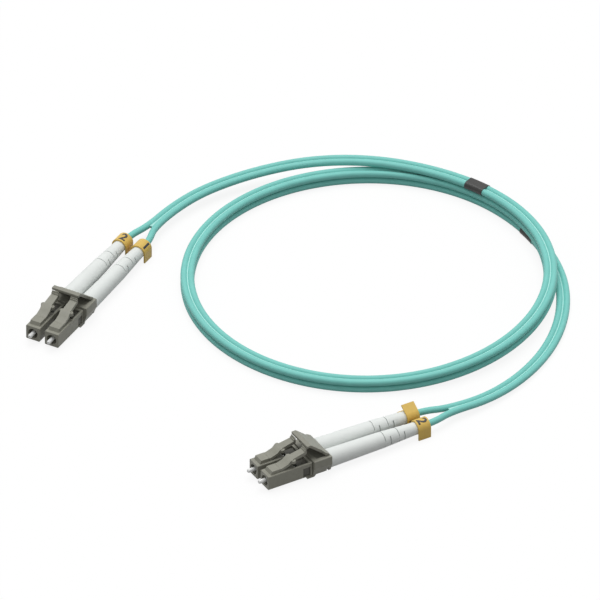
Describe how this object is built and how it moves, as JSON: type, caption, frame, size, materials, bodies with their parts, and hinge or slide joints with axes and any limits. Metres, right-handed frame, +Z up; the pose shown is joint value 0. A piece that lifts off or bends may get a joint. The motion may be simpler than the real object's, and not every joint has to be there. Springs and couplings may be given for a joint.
{
  "type": "fiber optic patch cord",
  "caption": "Aqua duplex multimode fibre patch cord, coiled, with a latched small-form-factor duplex connector, boots and number clips at each end.",
  "frame": {"origin": "on the surface that the cord lies on, midway between the two connectors, at the middle of their common box", "axes": "+Z up from the surface; -Y the way the connectors point; the coil lies on the +Y side; connector A at -X and connector B at +X"},
  "size_m": [0.1347, 0.1501, 0.0107],
  "materials": {
    "plug_plastic": "satin moulded grey-beige",
    "clip_plastic": "satin moulded grey-beige",
    "trigger_plastic": "satin moulded grey-beige",
    "rear_plastic": "moulded",
    "ceramic": "polished white ceramic",
    "holder_metal": "nickel plated",
    "glass": "clear",
    "spring_steel": "drawn wire",
    "crimp_metal": "plated",
    "boot_rubber": "white matt elastomer",
    "marker_plastic": "warm yellow moulded",
    "jacket_aqua": "aqua satin jacket",
    "aramid": "loose yellow yarn",
    "buffer": "tight buffer",
    "band_black": "black satin sleeve"
  },
  "bodies": {
    "root": {"duplex_clip_a": "clip_plastic", "plug_housing_a_1": "plug_plastic", "rear_body_a_1": "rear_plastic", "crimp_ring_a_1": "crimp_metal", "boot_a_1": "boot_rubber", "ferrule_spring_a_1": "spring_steel", "plug_housing_a_2": "plug_plastic", "rear_body_a_2": "rear_plastic", "crimp_ring_a_2": "crimp_metal", "boot_a_2": "boot_rubber", "ferrule_spring_a_2": "spring_steel", "duplex_clip_b": "clip_plastic", "plug_housing_b_2": "plug_plastic", "rear_body_b_2": "rear_plastic", "crimp_ring_b_2": "crimp_metal", "boot_b_2": "boot_rubber", "ferrule_spring_b_2": "spring_steel", "plug_housing_b_1": "plug_plastic", "rear_body_b_1": "rear_plastic", "crimp_ring_b_1": "crimp_metal", "boot_b_1": "boot_rubber", "ferrule_spring_b_1": "spring_steel", "jacket_1_lead_a": "jacket_aqua", "jacket_1_coil": "jacket_aqua", "jacket_1_lead_b": "jacket_aqua", "aramid_yarn_1": "aramid", "buffered_fibre_1": "buffer", "jacket_2_lead_a": "jacket_aqua", "jacket_2_coil": "jacket_aqua", "jacket_2_lead_b": "jacket_aqua", "aramid_yarn_2": "aramid", "buffered_fibre_2": "buffer", "band_one": "band_black", "band_two": "band_black"},
    "trigger_a": {"trigger_a": "trigger_plastic"},
    "latch_a_1": {"latch_lever_a_1": "plug_plastic"},
    "ferrule_set_a_1": {"ferrule_a_1": "ceramic", "ferrule_holder_a_1": "holder_metal", "glass_fibre_a_1": "glass"},
    "marker_a_1": {"marker_clip_a_1": "marker_plastic"},
    "latch_a_2": {"latch_lever_a_2": "plug_plastic"},
    "ferrule_set_a_2": {"ferrule_a_2": "ceramic", "ferrule_holder_a_2": "holder_metal", "glass_fibre_a_2": "glass"},
    "marker_a_2": {"marker_clip_a_2": "marker_plastic"},
    "trigger_b": {"trigger_b": "trigger_plastic"},
    "latch_b_2": {"latch_lever_b_2": "plug_plastic"},
    "ferrule_set_b_2": {"ferrule_b_2": "ceramic", "ferrule_holder_b_2": "holder_metal", "glass_fibre_b_2": "glass"},
    "marker_b_2": {"marker_clip_b_2": "marker_plastic"},
    "latch_b_1": {"latch_lever_b_1": "plug_plastic"},
    "ferrule_set_b_1": {"ferrule_b_1": "ceramic", "ferrule_holder_b_1": "holder_metal", "glass_fibre_b_1": "glass"},
    "marker_b_1": {"marker_clip_b_1": "marker_plastic"}
  },
  "joints": [
    {"name": "trigger_press_a", "type": "hinge", "parent": "root", "child": "trigger_a", "pos_m": [-0.05142, -0.00442, 0.00586], "axis": [0.9636, 0.2672, 0], "range_deg": [0, 10.8], "stiffness_Nm_per_rad": 0.002},
    {"name": "latch_flex_a_1", "type": "hinge", "parent": "root", "child": "latch_a_1", "pos_m": [-0.04432, -0.01833, 0.00586], "axis": [0.9636, 0.2672, 0], "range_deg": [-8, 0], "stiffness_Nm_per_rad": 0.002},
    {"name": "ferrule_slide_a_1", "type": "slide", "parent": "root", "child": "ferrule_set_a_1", "axis": [-0.2672, 0.9636, 0], "range_m": [0, 0.001], "stiffness_N_per_m": 20, "springref_m": -0.002, "deforming": ["ferrule_spring_a_1"]},
    {"name": "marker_turn_a_1", "type": "hinge", "parent": "root", "child": "marker_a_1", "pos_m": [-0.05704, 0.02754, 0.00303], "axis": [-0.2672, 0.9636, 0], "range_deg": [-150, 12]},
    {"name": "latch_flex_a_2", "type": "hinge", "parent": "root", "child": "latch_a_2", "pos_m": [-0.05034, -0.02, 0.00586], "axis": [0.9636, 0.2672, 0], "range_deg": [-8, 0], "stiffness_Nm_per_rad": 0.002},
    {"name": "ferrule_slide_a_2", "type": "slide", "parent": "root", "child": "ferrule_set_a_2", "axis": [-0.2672, 0.9636, 0], "range_m": [0, 0.001], "stiffness_N_per_m": 20, "springref_m": -0.002, "deforming": ["ferrule_spring_a_2"]},
    {"name": "marker_turn_a_2", "type": "hinge", "parent": "root", "child": "marker_a_2", "pos_m": [-0.06306, 0.02587, 0.00303], "axis": [-0.2672, 0.9636, 0], "range_deg": [-12, 150]},
    {"name": "trigger_press_b", "type": "hinge", "parent": "root", "child": "trigger_b", "pos_m": [0.05198, -0.00833, 0.00586], "axis": [0.9681, -0.2504, 0], "range_deg": [0, 10.8], "stiffness_Nm_per_rad": 0.002},
    {"name": "latch_flex_b_2", "type": "hinge", "parent": "root", "child": "latch_b_2", "pos_m": [0.05118, -0.02393, 0.00586], "axis": [0.9681, -0.2504, 0], "range_deg": [-8, 0], "stiffness_Nm_per_rad": 0.002},
    {"name": "ferrule_slide_b_2", "type": "slide", "parent": "root", "child": "ferrule_set_b_2", "axis": [0.2504, 0.9681, 0], "range_m": [0, 0.001], "stiffness_N_per_m": 20, "springref_m": -0.002, "deforming": ["ferrule_spring_b_2"]},
    {"name": "marker_turn_b_2", "type": "hinge", "parent": "root", "child": "marker_b_2", "pos_m": [0.0631, 0.02215, 0.00303], "axis": [0.2504, 0.9681, 0], "range_deg": [-150, 12]},
    {"name": "latch_flex_b_1", "type": "hinge", "parent": "root", "child": "latch_b_1", "pos_m": [0.04513, -0.02236, 0.00586], "axis": [0.9681, -0.2504, 0], "range_deg": [-8, 0], "stiffness_Nm_per_rad": 0.002},
    {"name": "ferrule_slide_b_1", "type": "slide", "parent": "root", "child": "ferrule_set_b_1", "axis": [0.2504, 0.9681, 0], "range_m": [0, 0.001], "stiffness_N_per_m": 20, "springref_m": -0.002, "deforming": ["ferrule_spring_b_1"]},
    {"name": "marker_turn_b_1", "type": "hinge", "parent": "root", "child": "marker_b_1", "pos_m": [0.05704, 0.02372, 0.00303], "axis": [0.2504, 0.9681, 0], "range_deg": [-132, 30]}
  ],
  "couplings": [
    {"joint": "latch_flex_a_1", "follows": "trigger_press_a", "ratio": -0.739},
    {"joint": "latch_flex_a_2", "follows": "trigger_press_a", "ratio": -0.739},
    {"joint": "latch_flex_b_2", "follows": "trigger_press_b", "ratio": -0.739},
    {"joint": "latch_flex_b_1", "follows": "trigger_press_b", "ratio": -0.739}
  ]
}
